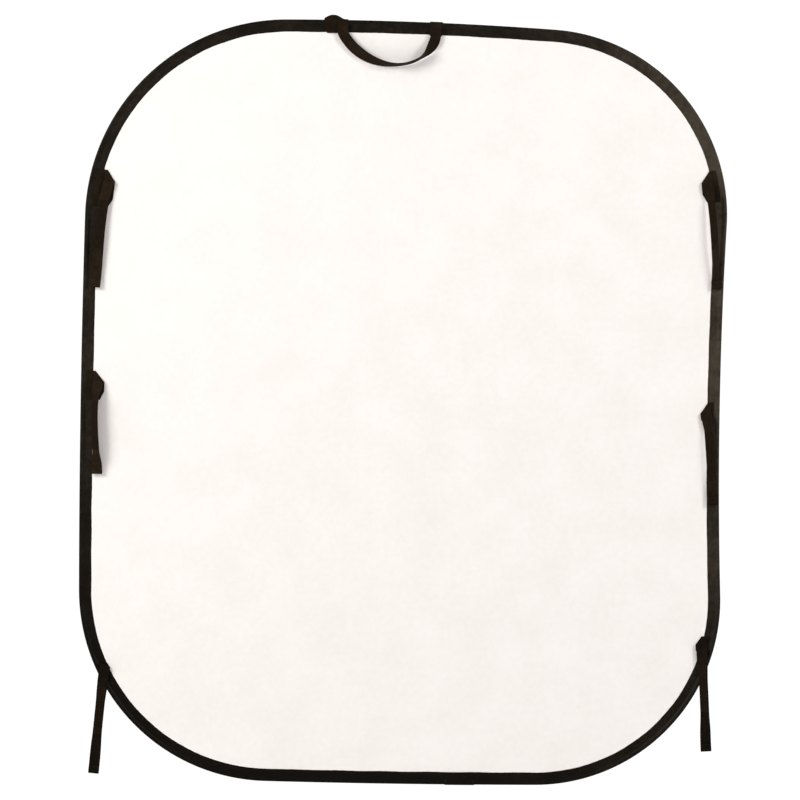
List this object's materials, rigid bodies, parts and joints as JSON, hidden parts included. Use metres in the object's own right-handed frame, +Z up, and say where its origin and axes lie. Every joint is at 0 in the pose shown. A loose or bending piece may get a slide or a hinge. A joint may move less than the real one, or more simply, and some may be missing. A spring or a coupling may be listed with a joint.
{
  "type": "collapsible backdrop panel",
  "caption": "Pop-up studio backdrop: white cloth stretched in a rounded oblong sprung rim with black binding, a webbing carrying handle at the top and hanging webbing ties at the sides.",
  "frame": {"origin": "the outer edge of the rim at the middle of the top, where a stand's clip holds the panel", "axes": "+Z up the panel's height; +X to the right seen from the front; the cloth's face and the handle look along -Y; lengths in metres"},
  "size_m": [1.5184, 0.0358, 1.8058],
  "materials": {
    "white_cloth": "matte",
    "rear_cloth": "matte",
    "binding_tape": "satin",
    "webbing": "satin",
    "patch_tape": "matte",
    "black_thread": "satin",
    "hook_tape": "matte",
    "loop_tape": "matte",
    "spring_steel": "satin",
    "sleeve_steel": "satin",
    "rivet_steel": "satin"
  },
  "bodies": {
    "panel": {"spring_hoop": "spring_steel", "hoop_sleeve": "sleeve_steel", "hoop_rivets": "rivet_steel", "front_cloth": "white_cloth", "rear_cloth": "rear_cloth", "rim_binding": "binding_tape", "binding_splice": "binding_tape", "rim_seam_thread": "black_thread", "handle_anchor_left": "webbing", "handle_anchor_right": "webbing", "handle_anchor_thread": "black_thread", "tie_anchor_thread": "black_thread", "tie_anchor_upper_left": "patch_tape", "tie_anchor_middle_left": "patch_tape", "tie_anchor_lower_left": "patch_tape", "tie_anchor_upper_right": "patch_tape", "tie_anchor_middle_right": "patch_tape", "tie_anchor_lower_right": "patch_tape"},
    "handle": {"handle_webbing": "webbing", "handle_end_thread": "black_thread"},
    "tie_upper_left": {"tie_webbing_upper_left": "webbing", "tie_hook_upper_left": "hook_tape", "tie_loop_upper_left": "loop_tape"},
    "tie_middle_left": {"tie_webbing_middle_left": "webbing", "tie_hook_middle_left": "hook_tape", "tie_loop_middle_left": "loop_tape"},
    "tie_lower_left": {"tie_webbing_lower_left": "webbing", "tie_hook_lower_left": "hook_tape", "tie_loop_lower_left": "loop_tape"},
    "tie_upper_right": {"tie_webbing_upper_right": "webbing", "tie_hook_upper_right": "hook_tape", "tie_loop_upper_right": "loop_tape"},
    "tie_middle_right": {"tie_webbing_middle_right": "webbing", "tie_hook_middle_right": "hook_tape", "tie_loop_middle_right": "loop_tape"},
    "tie_lower_right": {"tie_webbing_lower_right": "webbing", "tie_hook_lower_right": "hook_tape", "tie_loop_lower_right": "loop_tape"}
  },
  "joints": [
    {"name": "handle_swing", "type": "hinge", "parent": "panel", "child": "handle", "pos_m": [-0.028, -0.0082, -0.01912], "axis": [-0.9995, 0, 0.03], "range_deg": [0, 170]},
    {"name": "tie_upper_left_swing", "type": "hinge", "parent": "panel", "child": "tie_upper_left", "pos_m": [-0.68399, -0.0082, -0.37655], "axis": [-0.9905, 0, 0.1374], "range_deg": [0, 150]},
    {"name": "tie_middle_left_swing", "type": "hinge", "parent": "panel", "child": "tie_middle_left", "pos_m": [-0.70932, -0.0082, -0.84676], "axis": [-0.9998, 0, 0.0175], "range_deg": [0, 150]},
    {"name": "tie_lower_left_swing", "type": "hinge", "parent": "panel", "child": "tie_lower_left", "pos_m": [-0.69576, -0.0082, -1.51343], "axis": [-0.9947, 0, 0.1028], "range_deg": [0, 150]},
    {"name": "tie_upper_right_swing", "type": "hinge", "parent": "panel", "child": "tie_upper_right", "pos_m": [0.71604, -0.0082, -0.37944], "axis": [-0.9959, 0, -0.0906], "range_deg": [0, 150]},
    {"name": "tie_middle_right_swing", "type": "hinge", "parent": "panel", "child": "tie_middle_right", "pos_m": [0.71339, -0.0082, -0.91992], "axis": [-0.9976, 0, -0.0698], "range_deg": [0, 150]},
    {"name": "tie_lower_right_swing", "type": "hinge", "parent": "panel", "child": "tie_lower_right", "pos_m": [0.70177, -0.0082, -1.4614], "axis": [-0.999, 0, -0.0436], "range_deg": [0, 150]}
  ]
}
